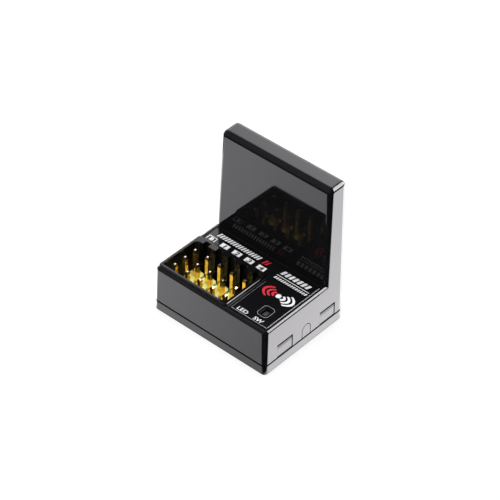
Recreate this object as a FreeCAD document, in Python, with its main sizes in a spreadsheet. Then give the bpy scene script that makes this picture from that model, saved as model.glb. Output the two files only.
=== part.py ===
import FreeCAD, Part
import math
import os
import Sketcher
from FreeCAD import Vector

doc = FreeCAD.newDocument("rc_receiver")

# Driving dimensions, in millimetres and degrees.
# X runs along the front from left to right, Y from the front to the fin, Z up from the base.
SIZES = {
    # Casing, outside
    "panel_width": 9.49,
    "strip_depth": 4.5,
    "base_height": 2.4,
    "deck_height": 9.7,
    "fin_height": 30.05,
    "fin_thickness": 4.7,
    "fin_lean": 0.29,
    "back_lean": 0.4,
    "side_draft": 1.36,
    "corner_radius": 0.8,
    "edge_radius": 0.55,
    "brow_radius": 1.0,
    "base_edge_radius": 0.5,
    "seam_height": 0.38,
    "seam_depth": 0.24,
    # Casing, walls
    "wall": 0.9,
    "roof": 0.8,
    "floor_thickness": 0.7,
    # Plug well and its collar
    "well_left": 1.04,
    "well_front": 1.05,
    "side_margin": 1.4,
    "well_corner": 0.9,
    "collar_step": 0.4,
    "collar_wall": 0.55,
    "collar_front_wall": 0.55,
    "collar_back_wall": 1.4,
    "collar_radius": 0.5,
    "collar_edge": 0.2,
    "rim_edge": 0.05,
    "key_width": 1.2,
    "key_depth": 0.86,
    "key_offset": 0.62,
    # Contact pins
    "channel_pitch": 2.83,
    "pin_pitch": 2.54,
    "pin_size": 0.64,
    "pin_taper": 0.18,
    "pin_recess": 0.2,
    "pin_front_margin": 1.59,
    "pin_back_margin": 1.88,
    "tail_length": 0.4,
    # Pin header bases
    "cell_width": 2.5,
    "cell_bevel": 0.45,
    "header_height": 2.2,
    "pin_hole_gap": 0.02,
    # Boards
    "board_level": 1.2,
    "board_thickness": 0.8,
    "board_gap": 0.2,
    "board_hole": 1.0,
    "post_size": 1.2,
    "fin_board_thickness": 0.8,
    "fin_board_gap": 0.5,
    # Label and its recess
    "label_margin": 0.4,
    "label_front": 1.15,
    "label_side": 0.65,
    "label_rim": 0.45,
    "label_collar_gap": 0.25,
    "recess_depth": 0.25,
    "recess_corner": 0.3,
    "label_thickness": 0.15,
    "label_gap": 0.1,
    "film_edge": 0.05,
    # Latch tabs, locating tabs and their slots
    "latch_shift": 0.5,
    "latch_spread": 11.0,
    "latch_width": 3.7,
    "latch_height": 2.38,
    "bevel_height": 0.45,
    "bevel_depth": 0.06,
    "latch_recess": 0.1,
    "latch_drop": 0.28,
    "slot_depth": 0.65,
    "slot_gap": 0.14,
    "slot_head_gap": 0.27,
    "hook_depth": 0.28,
    "hook_level": 3.1,
    "hook_height": 0.8,
    "hook_end_gap": 0.3,
    "bridge_gap": 0.1,
    "locator_width": 2.0,
    # Push switch
    "switch_from_right": 3.8,
    "switch_from_front": 4.25,
    "hole_width": 1.2,
    "hole_length": 1.6,
    "hole_corner": 0.3,
    "switch_size": 4.5,
    "switch_body_height": 3.0,
    "switch_wall": 0.55,
    "frame_sheet": 0.2,
    "frame_skirt": 1.2,
    "stem_gap": 0.2,
    "stem_recess": 0.3,
    "flange_size": 2.6,
    "flange_height": 0.5,
    "flange_gap": 0.03,
    "press_travel": 0.25,
    "dome_pressed": 0.1,
    "dome_radius": 1.5,
    "dome_sheet": 0.08,
    # Aerials on the fin board
    "element_sheet": 0.1,
    "element_width": 1.2,
    "element_height": 10.0,
    "element_arm": 7.0,
    "element_split": 2.4,
    "element_margin": 3.1,
    # Link between the boards
    "link_pitch": 2.54,
    "link_size": 0.5,
    "link_level": 1.25,
    "link_base_depth": 1.9,
    "link_base_height": 2.5,
    "link_reach": 0.8,
    "link_tail": 0.4,
    # Parts soldered on the main board
    "can_width": 6.8,
    "can_length": 6.2,
    "can_height": 1.9,
    "can_sheet": 0.2,
    "can_from_right": 1.3,
    "can_from_switch": 0.9,
    "can_corner": 0.4,
    "radio_size": 3.6,
    "radio_height": 0.85,
    "front_end_width": 1.7,
    "front_end_length": 2.2,
    "front_end_height": 0.75,
    "crystal_length": 2.0,
    "crystal_width": 1.6,
    "crystal_height": 0.6,
    "can_margin": 0.5,
    "controller_size": 4.0,
    "controller_height": 0.9,
    "behind_well": 0.5,
    "regulator_length": 2.9,
    "regulator_width": 1.6,
    "regulator_height": 1.1,
    "lead_width": 0.4,
    "lead_reach": 0.6,
    "lead_pitch": 0.95,
    "lead_sheet": 0.15,
    "input_capacitor_length": 3.0,
    "input_capacitor_width": 1.6,
    "output_capacitor_length": 2.0,
    "output_capacitor_width": 1.25,
    "part_spacing": 0.6,
    "led_length": 1.6,
    "led_width": 0.8,
    "led_height": 0.6,
    "led_gap": 0.2,
    "chip_bevel": 0.1,
}

sheet = doc.addObject("Spreadsheet::Sheet", "sizes")
for row, (alias, size) in enumerate(SIZES.items(), start=1):
    sheet.set(f"A{row}", alias)
    sheet.set(f"B{row}", str(size))
    sheet.setAlias(f"B{row}", alias)
doc.recompute()

sheet_reader = doc.addObject("App::FeaturePython", "sheet_reader")

# Places that follow from the sizes, as text for the sheet's expressions.
S = "sizes."
COLLAR_SPAN = f"({S}well_left + 2 * {S}side_margin + 4 * {S}channel_pitch + {S}collar_wall)"
PIN_SPAN = f"({S}pin_front_margin + 2 * {S}pin_pitch + {S}pin_back_margin)"
COLLAR_DEPTH = f"({S}well_front + {PIN_SPAN} + {S}collar_back_wall)"
WIDTH = f"({COLLAR_SPAN} + {S}panel_width)"
LENGTH = f"({COLLAR_DEPTH} + {S}strip_depth + {S}fin_thickness)"
LEFT = f"(-{WIDTH} / 2)"
RIGHT = f"({WIDTH} / 2)"
FRONT = f"(-{LENGTH} / 2)"
BACK = f"({LENGTH} / 2)"


def half_width(level):
    """Half the casing's width at a level: its sides lean in with the mould's draft."""
    return f"({WIDTH} / 2 - {level} * tan({S}side_draft * 1 deg))"


BOARD_TOP = f"({S}board_level + {S}board_thickness)"
PIN_X = f"({LEFT} + {S}well_left + {S}side_margin)"
PIN_Y = f"({FRONT} + {S}well_front + {S}pin_front_margin)"
COLLAR_TOP = f"({S}deck_height + {S}collar_step)"
WELL_LEFT = f"({LEFT} + {S}well_left)"
WELL_RIGHT = f"({LEFT} + {COLLAR_SPAN} - {S}collar_wall)"
WELL_FRONT = f"({FRONT} + {S}well_front)"
WELL_BACK = f"({WELL_FRONT} + {PIN_SPAN})"
COLLAR_RIGHT = f"({LEFT} + {COLLAR_SPAN})"
COLLAR_BACK = f"({FRONT} + {COLLAR_DEPTH})"
DECK_HALF = half_width(f"{S}deck_height")
FIN_HALF = half_width(f"{S}fin_height")
FIN_FRONT = f"({BACK} - {S}fin_thickness)"
FIN_FRONT_TOP = f"({FIN_FRONT} + {S}fin_lean)"
RECESS_FLOOR = f"({S}deck_height - {S}recess_depth)"
SWITCH_X = f"({RIGHT} - {S}switch_from_right)"
SWITCH_Y = f"({FRONT} + {S}switch_from_front)"
LED_X = f"({SWITCH_X} - {S}switch_size / 2 - {S}led_gap - {S}led_length / 2)"
LED_Y = f"({SWITCH_Y} - {S}led_width)"
LATCH_MIDDLE = f"{S}latch_shift"
FIN_BOARD_Y = f"(({FIN_FRONT_TOP} + {BACK}) / 2)"
FIN_BOARD_FRONT = f"({FIN_BOARD_Y} - {S}fin_board_thickness / 2)"
LINK_Z = f"({BOARD_TOP} + {S}link_level)"
LINK_LEG_Y = f"({FIN_BOARD_FRONT} - {S}link_base_depth - {S}link_reach)"
LINK_FIRST_X = f"(-1.5 * {S}link_pitch)"
CAN_X = f"({RIGHT} - {S}can_from_right - {S}can_width / 2)"
CAN_Y = f"({SWITCH_Y} + {S}switch_size / 2 + {S}can_from_switch + {S}can_length / 2)"
BEHIND_WELL = f"({COLLAR_BACK} + {S}behind_well)"
CONTROLLER_RIGHT = f"(-2 * {S}link_pitch - {S}part_spacing)"
SWITCH_TOP = f"({BOARD_TOP} + {S}switch_body_height)"
FLANGE_TOP = f"({SWITCH_TOP} - {S}flange_gap)"
FLANGE_BOTTOM = f"({FLANGE_TOP} - {S}flange_height)"
DOME_HEIGHT = f"({S}press_travel + {S}dome_pressed)"
DOME_FLOOR = f"({FLANGE_BOTTOM} - {S}flange_gap - {DOME_HEIGHT})"
COLUMNS = ("b", "1", "2", "3", "4")
ROWS = ("negative", "positive", "signal")


def value(text):
    """Present value of an expression on the sheet."""
    found = sheet_reader.evalExpression(text)
    return float(getattr(found, "Value", found))


def plane(body, role):
    """One of the body's own base planes or axes."""
    return next(part for part in body.Origin.OriginFeatures if part.Role == role)


def new_body(name, level=None):
    """An empty body, raised to a level where it has one."""
    body = doc.addObject("PartDesign::Body", name)
    body.Label = name
    if level:
        body.setExpression("Placement.Base.z", level)
    return body


def new_sketch(body, name, role="XY_Plane", offset=None):
    """A sketch on one of the body's base planes, moved along that plane's normal."""
    sketch = body.newObject("Sketcher::SketchObject", name)
    sketch.AttachmentSupport = [(plane(body, role), "")]
    sketch.MapMode = "FlatFace"
    if offset:
        sketch.setExpression("AttachmentOffset.Base.z", offset)
    return sketch


def pin_point(sketch, line, end, across, along):
    """Ties one end of a line to its place from the sketch's origin."""
    for kind, place in (("DistanceX", across), ("DistanceY", along)):
        index = sketch.addConstraint(Sketcher.Constraint(kind, -1, 1, line, end, value(place)))
        sketch.setExpression(f"Constraints[{index}]", place)


def outline(sketch, corners):
    """A closed outline of straight lines through corners given as expressions."""
    spots = [Vector(value(across), value(along), 0) for across, along in corners]
    first = sketch.GeometryCount
    count = len(corners)
    for index in range(count):
        sketch.addGeometry(Part.LineSegment(spots[index], spots[(index + 1) % count]), False)
    for index in range(count):
        following = first + (index + 1) % count
        sketch.addConstraint(Sketcher.Constraint("Coincident", first + index, 2, following, 1))
    for index, (across, along) in enumerate(corners):
        pin_point(sketch, first + index, 1, across, along)


def rectangle(sketch, left, front, right, back):
    """A rectangle between four expressions."""
    outline(sketch, [(left, front), (right, front), (right, back), (left, back)])


def centred(middle, size):
    """Both ends of a stretch of a size about its middle."""
    return f"({middle} - {size} / 2)", f"({middle} + {size} / 2)"


def pad(body, sketch, length, midplane=False, reverse=False):
    """Material raised from a sketch."""
    feature = body.newObject("PartDesign::Pad", sketch.Name + "_pad")
    feature.Profile = sketch
    feature.Midplane = midplane
    feature.Reversed = reverse
    feature.setExpression("Length", length)
    doc.recompute()
    return feature


def pocket(body, sketch, length, reverse=False, midplane=False):
    """Material taken away from a sketch."""
    before = body.Shape.Volume
    feature = body.newObject("PartDesign::Pocket", sketch.Name + "_cut")
    feature.Profile = sketch
    feature.Reversed = reverse
    feature.Midplane = midplane
    feature.setExpression("Length", length)
    doc.recompute()
    if not body.Shape.Volume < before:
        raise RuntimeError(f"{feature.Name} cuts nothing")
    return feature


def edges_where(shape, test):
    """Names of the edges whose middle point and direction pass a test."""
    names = []
    for index, edge in enumerate(shape.Edges, start=1):
        middle = edge.valueAt((edge.FirstParameter + edge.LastParameter) / 2)
        start, end = edge.valueAt(edge.FirstParameter), edge.valueAt(edge.LastParameter)
        run = end - start
        if run.Length > 1e-6:
            run.normalize()
        if test(middle, run):
            names.append(f"Edge{index}")
    return names


def fillet(body, base, test, radius):
    """Rounded edges, picked by place."""
    feature = body.newObject("PartDesign::Fillet", base.Name + "_round")
    feature.Base = (base, edges_where(base.Shape, test))
    feature.setExpression("Radius", radius)
    doc.recompute()
    return feature


def chamfer(body, base, test, size):
    """Bevelled edges, picked by place."""
    feature = body.newObject("PartDesign::Chamfer", base.Name + "_bevel")
    feature.Base = (base, edges_where(base.Shape, test))
    feature.setExpression("Size", size)
    doc.recompute()
    return feature


def row_of(body, feature, pitch, count):
    """Repeats a feature along X."""
    pattern = body.newObject("PartDesign::LinearPattern", feature.Name + "_row")
    pattern.Originals = [feature]
    pattern.Direction = (plane(body, "X_Axis"), [""])
    pattern.setExpression("Length", f"{pitch} * {count - 1}")
    pattern.Occurrences = count
    body.Tip = pattern
    doc.recompute()
    return pattern


def rounded_rectangle(sketch, left, front, right, back, radius):
    """A rectangle whose corners are arcs of one radius."""
    west, south, east, north = value(left), value(front), value(right), value(back)
    size = value(radius)
    lines = [
        ((west + size, south), (east - size, south)),
        ((east, south + size), (east, north - size)),
        ((east - size, north), (west + size, north)),
        ((west, north - size), (west, south + size)),
    ]
    centres = [
        (f"({right} - {radius})", f"({front} + {radius})", 270),
        (f"({right} - {radius})", f"({back} - {radius})", 0),
        (f"({left} + {radius})", f"({back} - {radius})", 90),
        (f"({left} + {radius})", f"({front} + {radius})", 180),
    ]
    for start, end in lines:
        sketch.addGeometry(Part.LineSegment(Vector(*start, 0), Vector(*end, 0)), False)
    for across, along, angle in centres:
        ring = Part.Circle(Vector(value(across), value(along), 0), Vector(0, 0, 1), size)
        start = math.radians(angle)
        sketch.addGeometry(Part.ArcOfCircle(ring, start, start + math.pi / 2), False)
    for index in range(4):
        sketch.addConstraint(Sketcher.Constraint("Tangent", index, 2, index + 4, 1))
        sketch.addConstraint(Sketcher.Constraint("Tangent", index + 4, 2, (index + 1) % 4, 1))
    for index, (across, along, angle) in enumerate(centres):
        pin_point(sketch, index + 4, 3, across, along)
    bound = sketch.addConstraint(Sketcher.Constraint("Radius", 4, size))
    sketch.setExpression(f"Constraints[{bound}]", radius)
    for index in (5, 6, 7):
        sketch.addConstraint(Sketcher.Constraint("Equal", 4, index))


def circle(sketch, across, along, diameter):
    """A circle about a place."""
    ring = Part.Circle(Vector(value(across), value(along), 0), Vector(0, 0, 1), value(diameter) / 2)
    index = sketch.addGeometry(ring, False)
    pin_point(sketch, index, 3, across, along)
    bound = sketch.addConstraint(Sketcher.Constraint("Diameter", index, value(diameter)))
    sketch.setExpression(f"Constraints[{bound}]", diameter)


def mirror_sides(body, features):
    """Repeats features on the other side of the middle plane."""
    mirrored = body.newObject("PartDesign::Mirrored", body.Name + "_other_side")
    mirrored.Originals = features
    mirrored.MirrorPlane = (plane(body, "YZ_Plane"), [""])
    body.Tip = mirrored
    doc.recompute()
    return mirrored


def place(body, across=None, along=None, level=None):
    """Puts a body where its expressions say."""
    for axis, text in (("x", across), ("y", along), ("z", level)):
        if text:
            body.setExpression(f"Placement.Base.{axis}", text)
    doc.recompute()


def tapered_block(body, low, high):
    """The casing's front view between two levels, carried back along its length."""
    front = new_sketch(body, body.Name + "_front_view", "XZ_Plane")
    outline(front, [
        (f"(-{half_width(low)})", low),
        (half_width(low), low),
        (half_width(high), high),
        (f"(-{half_width(high)})", high),
    ])
    return pad(body, front, f"{LENGTH}", midplane=True)


def latch_rows():
    """The two places of the latches along each side."""
    return [f"({LATCH_MIDDLE} + {side} * {S}latch_spread / 2)" for side in (-1, 1)]


def cut_side_slots(body):
    """Slots that take the bottom cover's tabs, and windows for the hooks behind them."""
    top = f"({S}base_height + {S}latch_height + {S}slot_head_gap)"
    slots = new_sketch(body, "latch_slots", "YZ_Plane", RIGHT)
    windows = new_sketch(body, "hook_windows", "YZ_Plane", RIGHT)
    for middle in latch_rows():
        near, far = centred(middle, f"({S}latch_width + 2 * {S}slot_gap)")
        rectangle(slots, near, f"({S}base_height - {S}wall)", far, top)
        rectangle(windows, near, f"({S}hook_level - {S}bridge_gap)", far, top)
    slot_cut = pocket(body, slots, f"{S}slot_depth")
    window_cut = pocket(body, windows, f"({RIGHT} - {DECK_HALF} + {S}wall + {S}slot_gap)")

    arch = new_sketch(body, "locator_slot", "YZ_Plane", RIGHT)
    radius = f"({S}locator_width / 2 + {S}slot_gap)"
    arched_outline(arch, LATCH_MIDDLE, f"({S}base_height - {S}wall)",
                   f"({S}base_height + {S}latch_height + {S}slot_gap)", radius)
    arch_cut = pocket(body, arch, f"{S}slot_depth")
    return mirror_sides(body, [slot_cut, window_cut, arch_cut])


def arched_outline(sketch, middle, low, top, radius):
    """Straight sides under a half-round head."""
    size = value(radius)
    across, foot, spring = value(middle), value(low), value(top) - size
    corners = [(across - size, spring), (across - size, foot), (across + size, foot), (across + size, spring)]
    for start, end in zip(corners, corners[1:]):
        sketch.addGeometry(Part.LineSegment(Vector(*start, 0), Vector(*end, 0)), False)
    ring = Part.Circle(Vector(across, spring, 0), Vector(0, 0, 1), size)
    sketch.addGeometry(Part.ArcOfCircle(ring, 0, math.pi), False)
    sketch.addConstraint(Sketcher.Constraint("Coincident", 0, 2, 1, 1))
    sketch.addConstraint(Sketcher.Constraint("Coincident", 1, 2, 2, 1))
    sketch.addConstraint(Sketcher.Constraint("Tangent", 2, 2, 3, 1))
    sketch.addConstraint(Sketcher.Constraint("Tangent", 3, 2, 0, 1))
    sketch.addConstraint(Sketcher.Constraint("Horizontal", 1))
    sketch.addConstraint(Sketcher.Constraint("Vertical", 0))
    pin_point(sketch, 3, 3, middle, f"({top} - {radius})")
    foot_rule = sketch.addConstraint(Sketcher.Constraint("DistanceY", -1, 1, 1, 1, foot))
    sketch.setExpression(f"Constraints[{foot_rule}]", low)
    size_rule = sketch.addConstraint(Sketcher.Constraint("Radius", 3, size))
    sketch.setExpression(f"Constraints[{size_rule}]", radius)


def at_level(level):
    """Test for points on a level."""
    height = value(level)
    return lambda middle: abs(middle.z - height) < 0.005


def build_upper_case():
    """One moulding: low box, hollow aerial fin, keyed plug well, label recess and side slots."""
    body = new_body("upper_case")
    tapered_block(body, f"{S}base_height", f"{S}fin_height")
    side = new_sketch(body, "space_before_fin", "YZ_Plane")
    outline(side, [
        (f"({FRONT} - 1)", f"{S}deck_height"),
        (FIN_FRONT, f"{S}deck_height"),
        (FIN_FRONT_TOP, f"{S}fin_height"),
        (FIN_FRONT_TOP, f"({S}fin_height + 1)"),
        (f"({FRONT} - 1)", f"({S}fin_height + 1)"),
    ])
    pocket(body, side, f"({WIDTH} + 2)", midplane=True)
    behind = new_sketch(body, "back_draft", "YZ_Plane")
    outline(behind, [
        (BACK, f"{S}base_height"),
        (f"({BACK} + 1)", f"{S}base_height"),
        (f"({BACK} + 1)", f"({S}fin_height + 1)"),
        (f"({BACK} - {S}back_lean)", f"({S}fin_height + 1)"),
        (f"({BACK} - {S}back_lean)", f"{S}fin_height"),
    ])
    shape = pocket(body, behind, f"({WIDTH} + 2)", midplane=True)

    deck, top, foot = at_level(f"{S}deck_height"), at_level(f"{S}fin_height"), value(FIN_FRONT)
    brow = value(FIN_FRONT_TOP)
    shape = fillet(body, shape, lambda middle, run: top(middle) and middle.y < brow + 0.005,
                   f"{S}brow_radius")
    brow_end = brow + value(f"{S}brow_radius + 0.1")
    shape = fillet(body, shape, lambda middle, run: abs(run.z) > 0.9
                   or top(middle) and middle.y > brow_end, f"{S}corner_radius")
    shape = fillet(body, shape, lambda middle, run: deck(middle) and middle.y < foot - 0.005,
                   f"{S}edge_radius")

    inside = f"({DECK_HALF} - {S}wall)"
    box_room = new_sketch(body, "box_room")
    rectangle(box_room, f"(-{inside})", f"({FRONT} + {S}wall)", inside, f"({BACK} - {S}wall)")
    pocket(body, box_room, f"({S}deck_height - {S}roof)", reverse=True)
    inside = f"({FIN_HALF} - {S}wall)"
    fin_room = new_sketch(body, "fin_room")
    rectangle(fin_room, f"(-{inside})", f"({FIN_FRONT_TOP} + {S}wall)",
              inside, f"({BACK} - {S}back_lean - {S}wall)")
    pocket(body, fin_room, f"({S}fin_height - {S}wall)", reverse=True)

    collar = new_sketch(body, "collar", offset=f"{S}base_height")
    rounded_rectangle(collar, f"({WELL_LEFT} - {S}collar_wall)", f"({WELL_FRONT} - {S}collar_front_wall)",
                      COLLAR_RIGHT, COLLAR_BACK, f"{S}collar_radius")
    shape = pad(body, collar, f"({COLLAR_TOP} - {S}base_height)")
    rim = at_level(COLLAR_TOP)
    shape = fillet(body, shape, lambda middle, run: rim(middle), f"{S}collar_edge")

    well = new_sketch(body, "well", offset=f"{S}base_height")
    rectangle(well, WELL_LEFT, WELL_FRONT, WELL_RIGHT, WELL_BACK)
    shape = pocket(body, well, f"({COLLAR_TOP} - {S}base_height + 1)", reverse=True)
    corner_x, corner_y = value(WELL_LEFT), value(WELL_BACK)
    shape = fillet(body, shape, lambda middle, run: abs(run.z) > 0.99 and abs(middle.x - corner_x) < 0.005
                   and abs(middle.y - corner_y) < 0.005, f"{S}well_corner")
    key = new_sketch(body, "key_notch", offset=f"{S}base_height")
    near, far = centred(f"({PIN_X} + {S}key_offset)", f"{S}key_width")
    rectangle(key, near, f"({WELL_BACK} - {S}key_depth)", far, f"({WELL_BACK} + {S}key_depth)")
    key_cut = pocket(body, key, f"({COLLAR_TOP} - {S}base_height + 1)", reverse=True)
    row_of(body, key_cut, f"{S}channel_pitch", len(COLUMNS))

    recess = new_sketch(body, "label_recess", offset=RECESS_FLOOR)
    outline(recess, label_corners(f"{S}label_gap"))
    shape = pocket(body, recess, f"({S}recess_depth + 1)", reverse=True)
    corners = [(value(across), value(along)) for across, along in label_corners(f"{S}label_gap")]
    shape = chamfer(body, shape, lambda middle, run: deck(middle) and on_outline(corners, middle),
                    f"{S}rim_edge")
    hole = new_sketch(body, "switch_hole", offset=RECESS_FLOOR)
    rounded_rectangle(hole, *switch_window(), f"{S}hole_corner")
    pocket(body, hole, f"{S}roof")
    light = new_sketch(body, "led_hole", offset=RECESS_FLOOR)
    near, far = centred(LED_X, f"{S}led_length")
    close, deep = centred(LED_Y, f"{S}led_width")
    rectangle(light, near, close, far, deep)
    pocket(body, light, f"{S}roof")
    cut_side_slots(body)
    return body


def on_outline(corners, point):
    """Whether a point lies above one of the straight sides between corners."""
    for index, start in enumerate(corners):
        end = corners[(index + 1) % len(corners)]
        near, far = Vector(*start, point.z), Vector(*end, point.z)
        if abs((point - near).Length + (point - far).Length - (far - near).Length) < 0.002:
            return True
    return False


def switch_window():
    """The four sides of the hole over the push switch."""
    near, far = centred(SWITCH_X, f"{S}hole_width")
    close, deep = centred(SWITCH_Y, f"{S}hole_length")
    return near, close, far, deep


def label_corners(growth):
    """The label's L shape, grown all round by a gap."""
    left = f"({COLLAR_RIGHT} + {S}label_margin - {growth})"
    right = f"({DECK_HALF} - {S}label_side - {S}label_gap + {growth})"
    front = f"({FRONT} + {S}label_front - {growth})"
    step = f"({COLLAR_BACK} + {S}label_collar_gap + {S}label_gap - {growth})"
    back = f"({FIN_FRONT} - {S}label_rim - {S}label_gap + {growth})"
    far_left = f"(-{DECK_HALF} + {S}label_side + {S}label_gap - {growth})"
    return [(left, front), (right, front), (right, back), (far_left, back), (far_left, step), (left, step)]


def build_bottom_cover():
    """Tray with four latch tabs, two half-round locating tabs and the board's corner posts."""
    body = new_body("bottom_cover")
    top = f"({S}base_height + {S}latch_height)"
    shape = tapered_block(body, "0", top)
    base = at_level("0")
    shape = fillet(body, shape, lambda middle, run: abs(run.z) > 0.9, f"{S}corner_radius")
    shape = fillet(body, shape, lambda middle, run: base(middle), f"{S}base_edge_radius")

    around = [f"({LEFT} - 2)", f"({FRONT} - 2)", f"({RIGHT} + 2)", f"({BACK} + 2)"]
    groove = new_sketch(body, "seam_groove", offset=f"({S}base_height - {S}seam_height)")
    core = f"({half_width(f'{S}base_height')} - {S}seam_depth)"
    rounded_rectangle(groove, f"(-{core})", f"({FRONT} + {S}seam_depth)", core, f"({BACK} - {S}seam_depth)",
                      f"({S}corner_radius - {S}seam_depth)")
    rectangle(groove, *around)
    pocket(body, groove, f"{S}seam_height", reverse=True)

    tabs = new_sketch(body, "around_tabs", offset=f"{S}base_height")
    rectangle(tabs, *around)
    inner = f"({RIGHT} - {S}slot_depth + {S}slot_gap)"
    outer = f"({RIGHT} + 1)"
    spans = [centred(middle, f"{S}latch_width") for middle in latch_rows()]
    spans.append(centred(LATCH_MIDDLE, f"{S}locator_width"))
    for near, far in spans:
        rectangle(tabs, inner, near, outer, far)
        rectangle(tabs, f"(-{outer})", near, f"(-{inner})", far)
    shape = pocket(body, tabs, f"({S}latch_height + 1)", reverse=True)

    ends = [value(f"({LATCH_MIDDLE} + {side} * {S}locator_width / 2)") for side in (-1, 1)]
    arch_top = at_level(top)
    shape = fillet(body, shape, lambda middle, run: arch_top(middle)
                   and min(abs(middle.y - end) for end in ends) < 0.005, f"({S}locator_width / 2 - 0.01)")
    room = new_sketch(body, "tray_room", offset=f"{S}floor_thickness")
    inside = f"({RIGHT} - {S}wall)"
    rectangle(room, f"(-{inside})", f"({FRONT} + {S}wall)", inside, f"({BACK} - {S}wall)")
    pocket(body, room, f"{S}base_height", reverse=True)

    posts = new_sketch(body, "board_posts", offset=f"{S}floor_thickness")
    for across in (-1, 1):
        for along in (-1, 1):
            xs = sorted((f"({across} * {inside})", f"({across} * ({inside} - {S}post_size))"), key=value)
            depth = f"({BACK} - {S}wall)"
            ys = sorted((f"({along} * {depth})", f"({along} * ({depth} - {S}post_size))"), key=value)
            rectangle(posts, xs[0], ys[0], xs[1], ys[1])
    pad(body, posts, f"({S}board_level - {S}floor_thickness)")

    latches = []
    foot = f"{S}base_height"
    crest = f"({top} - {S}latch_drop)"
    ledge = f"({crest} - {S}bevel_height)"
    for number, middle in enumerate(latch_rows(), start=1):
        bevel = new_sketch(body, f"tab_bevel_{number}", "XZ_Plane", f"(-{middle})")
        outline(bevel, [
            (f"({inner} - {S}wall)", crest),
            (f"({half_width(crest)} - {S}latch_recess - {S}bevel_depth)", crest),
            (f"({half_width(ledge)} - {S}latch_recess)", ledge),
            (f"({half_width(foot)} - {S}latch_recess)", foot),
            (outer, foot),
            (outer, f"({top} + 1)"),
            (f"({inner} - {S}wall)", f"({top} + 1)"),
        ])
        latches.append(pocket(body, bevel, f"{S}latch_width", midplane=True))
        hook = new_sketch(body, f"hook_{number}", "XZ_Plane", f"(-{middle})")
        tip = f"({inner} - {S}hook_depth)"
        outline(hook, [
            (inner, f"{S}hook_level"),
            (inner, f"({S}hook_level + {S}hook_height)"),
            (tip, f"({S}hook_level + {S}hook_height / 2)"),
            (tip, f"{S}hook_level"),
        ])
        latches.append(pad(body, hook, f"({S}latch_width - 2 * {S}hook_end_gap)", midplane=True))
    mirror_sides(body, latches)
    return body


def build_top_label():
    """L-shaped film in the deck's recess, open over the push switch."""
    body = new_body("top_label", RECESS_FLOOR)
    film = new_sketch(body, "film_outline")
    outline(film, label_corners("0"))
    shape = pad(body, film, f"{S}label_thickness")
    shape = fillet(body, shape, lambda middle, run: abs(run.z) > 0.99, f"{S}recess_corner")
    face = at_level(f"{S}label_thickness")
    chamfer(body, shape, lambda middle, run: face(middle), f"{S}film_edge")
    hole = new_sketch(body, "film_hole")
    near, close, far, deep = switch_window()
    grow = f"{S}label_gap"
    rounded_rectangle(hole, f"({near} - {grow})", f"({close} - {grow})", f"({far} + {grow})",
                      f"({deep} + {grow})", f"{S}hole_corner")
    pocket(body, hole, f"{S}label_thickness", reverse=True)
    return body


def build_main_board():
    """Glass-fibre board with rows of holes for the contact pins and for the link pins."""
    body = new_body("main_board", f"{S}board_level")
    plate = new_sketch(body, "main_plate")
    half = f"({RIGHT} - {S}wall - {S}board_gap)"
    depth = f"({BACK} - {S}wall - {S}board_gap)"
    rectangle(plate, f"(-{half})", f"(-{depth})", half, depth)
    pad(body, plate, f"{S}board_thickness")
    holes = new_sketch(body, "pin_holes")
    for row in range(len(ROWS)):
        circle(holes, PIN_X, f"({PIN_Y} + {row} * {S}pin_pitch)", f"{S}board_hole")
    column = pocket(body, holes, f"{S}board_thickness", reverse=True)
    row_of(body, column, f"{S}channel_pitch", len(COLUMNS))
    links = new_sketch(body, "link_holes")
    circle(links, LINK_FIRST_X, LINK_LEG_Y, f"({S}link_size * 1.6)")
    link = pocket(body, links, f"{S}board_thickness", reverse=True)
    row_of(body, link, f"{S}link_pitch", 4)
    return body


def build_antenna_board():
    """Upright board that stands on the main board and reaches the top of the fin."""
    body = new_body("antenna_board")
    place(body, along=FIN_BOARD_Y)
    face = new_sketch(body, "fin_plate", "XZ_Plane")
    half = f"({FIN_HALF} - {S}wall - {S}fin_board_gap)"
    rectangle(face, f"(-{half})", BOARD_TOP, half, f"({S}fin_height - {S}wall - {S}fin_board_gap)")
    pad(body, face, f"{S}fin_board_thickness", midplane=True)
    holes = new_sketch(body, "fin_link_holes", "XZ_Plane")
    circle(holes, LINK_FIRST_X, LINK_Z, f"({S}link_size * 1.6)")
    link = pocket(body, holes, f"(2 * {S}fin_board_thickness)", midplane=True)
    row_of(body, link, f"{S}link_pitch", 4)
    return body


def build_antenna_element(name, side):
    """Copper aerial on the fin board: an upright stem with an arm along the top."""
    body = new_body(name)
    place(body, along=FIN_BOARD_FRONT)
    sketch = new_sketch(body, name + "_outline", "XZ_Plane")
    root = f"({side} * {S}element_split / 2)"
    stem = f"({side} * ({S}element_split / 2 + {S}element_width))"
    tip = f"({side} * ({S}element_split / 2 + {S}element_arm))"
    top = f"({S}fin_height - {S}wall - {S}fin_board_gap - {S}element_margin)"
    foot = f"({top} - {S}element_height)"
    arm = f"({top} - {S}element_width)"
    outline(sketch, [(root, foot), (stem, foot), (stem, arm), (tip, arm), (tip, top), (root, top)])
    pad(body, sketch, f"{S}element_sheet")
    return body


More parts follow.
